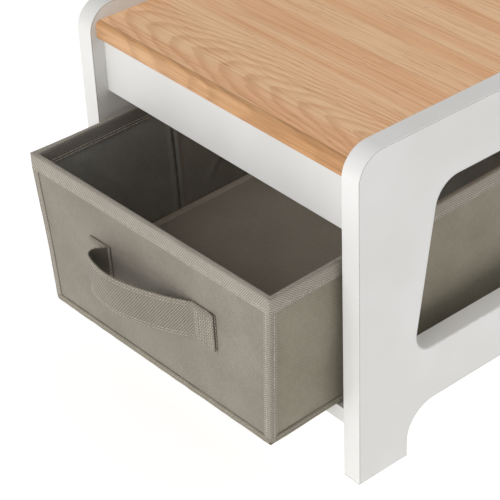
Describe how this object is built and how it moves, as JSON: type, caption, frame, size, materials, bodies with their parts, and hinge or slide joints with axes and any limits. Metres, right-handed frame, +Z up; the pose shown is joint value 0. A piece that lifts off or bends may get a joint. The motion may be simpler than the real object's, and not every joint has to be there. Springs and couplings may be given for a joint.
{
  "type": "entryway bench",
  "caption": "Low entryway bench with windowed board sides, a wood-look seat and one fabric pull-out drawer on a shelf.",
  "frame": {"origin": "on the floor, in the middle of the box round the whole object with its drawer pulled out as at rest", "axes": "+X to the bench's right seen from the front, +Y from the drawer front to the back, +Z up"},
  "size_m": [0.344, 0.4084, 0.308],
  "materials": {
    "white_board": "satin white laminate",
    "white_edging": "satin white edging strip",
    "oak_seat": "satin oak-look laminate, grain across the bench",
    "oak_edging": "satin rounded oak-look edge",
    "zinc_fittings": "zinc-plated",
    "beech_dowel": "bare beech",
    "drawer_cloth": "matt embossed non-woven, grey taupe",
    "lining_cloth": "matt non-woven lining, grey taupe",
    "binding_tape": "matt folded binding tape, grey taupe",
    "strap_cloth": "matt double-stitched strap, grey taupe",
    "stiffener_board": "bare grey-brown board"
  },
  "bodies": {
    "frame": {"side_panel_left": "white_board", "side_panel_right": "white_board", "edge_band_left": "white_edging", "edge_band_right": "white_edging", "window_band_left": "white_edging", "window_band_right": "white_edging", "seat_board": "oak_seat", "seat_edge_front": "oak_edging", "seat_edge_rear": "oak_edging", "front_rail": "white_board", "rear_rail": "white_board", "bottom_shelf": "white_board", "seat_cam_locks": "zinc_fittings", "shelf_cam_locks": "zinc_fittings", "rail_cam_locks": "zinc_fittings", "cam_bolts_left": "zinc_fittings", "cam_bolts_right": "zinc_fittings", "dowels_left": "beech_dowel", "dowels_right": "beech_dowel"},
    "drawer": {"drawer_cloth_front": "drawer_cloth", "drawer_cloth_back": "drawer_cloth", "drawer_cloth_left": "drawer_cloth", "drawer_cloth_right": "drawer_cloth", "stiffener_front": "stiffener_board", "stiffener_back": "stiffener_board", "stiffener_left_front": "stiffener_board", "stiffener_left_rear": "stiffener_board", "stiffener_right_front": "stiffener_board", "stiffener_right_rear": "stiffener_board", "lining_front": "lining_cloth", "lining_back": "lining_cloth", "lining_left": "lining_cloth", "lining_right": "lining_cloth", "bottom_cloth": "drawer_cloth", "rim_binding": "binding_tape", "bottom_binding": "binding_tape", "corner_seam_front_left": "binding_tape", "corner_seam_front_right": "binding_tape", "corner_seam_rear_left": "binding_tape", "corner_seam_rear_right": "binding_tape", "handle_patch_left": "strap_cloth", "handle_patch_right": "strap_cloth"},
    "handle": {"handle_strap": "strap_cloth"},
    "insert": {"base_board": "stiffener_board", "base_cover": "lining_cloth"}
  },
  "joints": [
    {"name": "drawer_slide", "type": "slide", "parent": "frame", "child": "drawer", "axis": [0, -1, 0], "range_m": [-0.086, 0.2]},
    {"name": "handle_lift", "type": "hinge", "parent": "drawer", "child": "handle", "pos_m": [0.0082, -0.17736, 0.142], "axis": [-0.9995, -0.0322, 0], "range_deg": [-15, 15], "stiffness_Nm_per_rad": 0.04},
    {"name": "insert_lift", "type": "slide", "parent": "drawer", "child": "insert", "axis": [0, 0, 1], "range_m": [0, 0.13]}
  ]
}
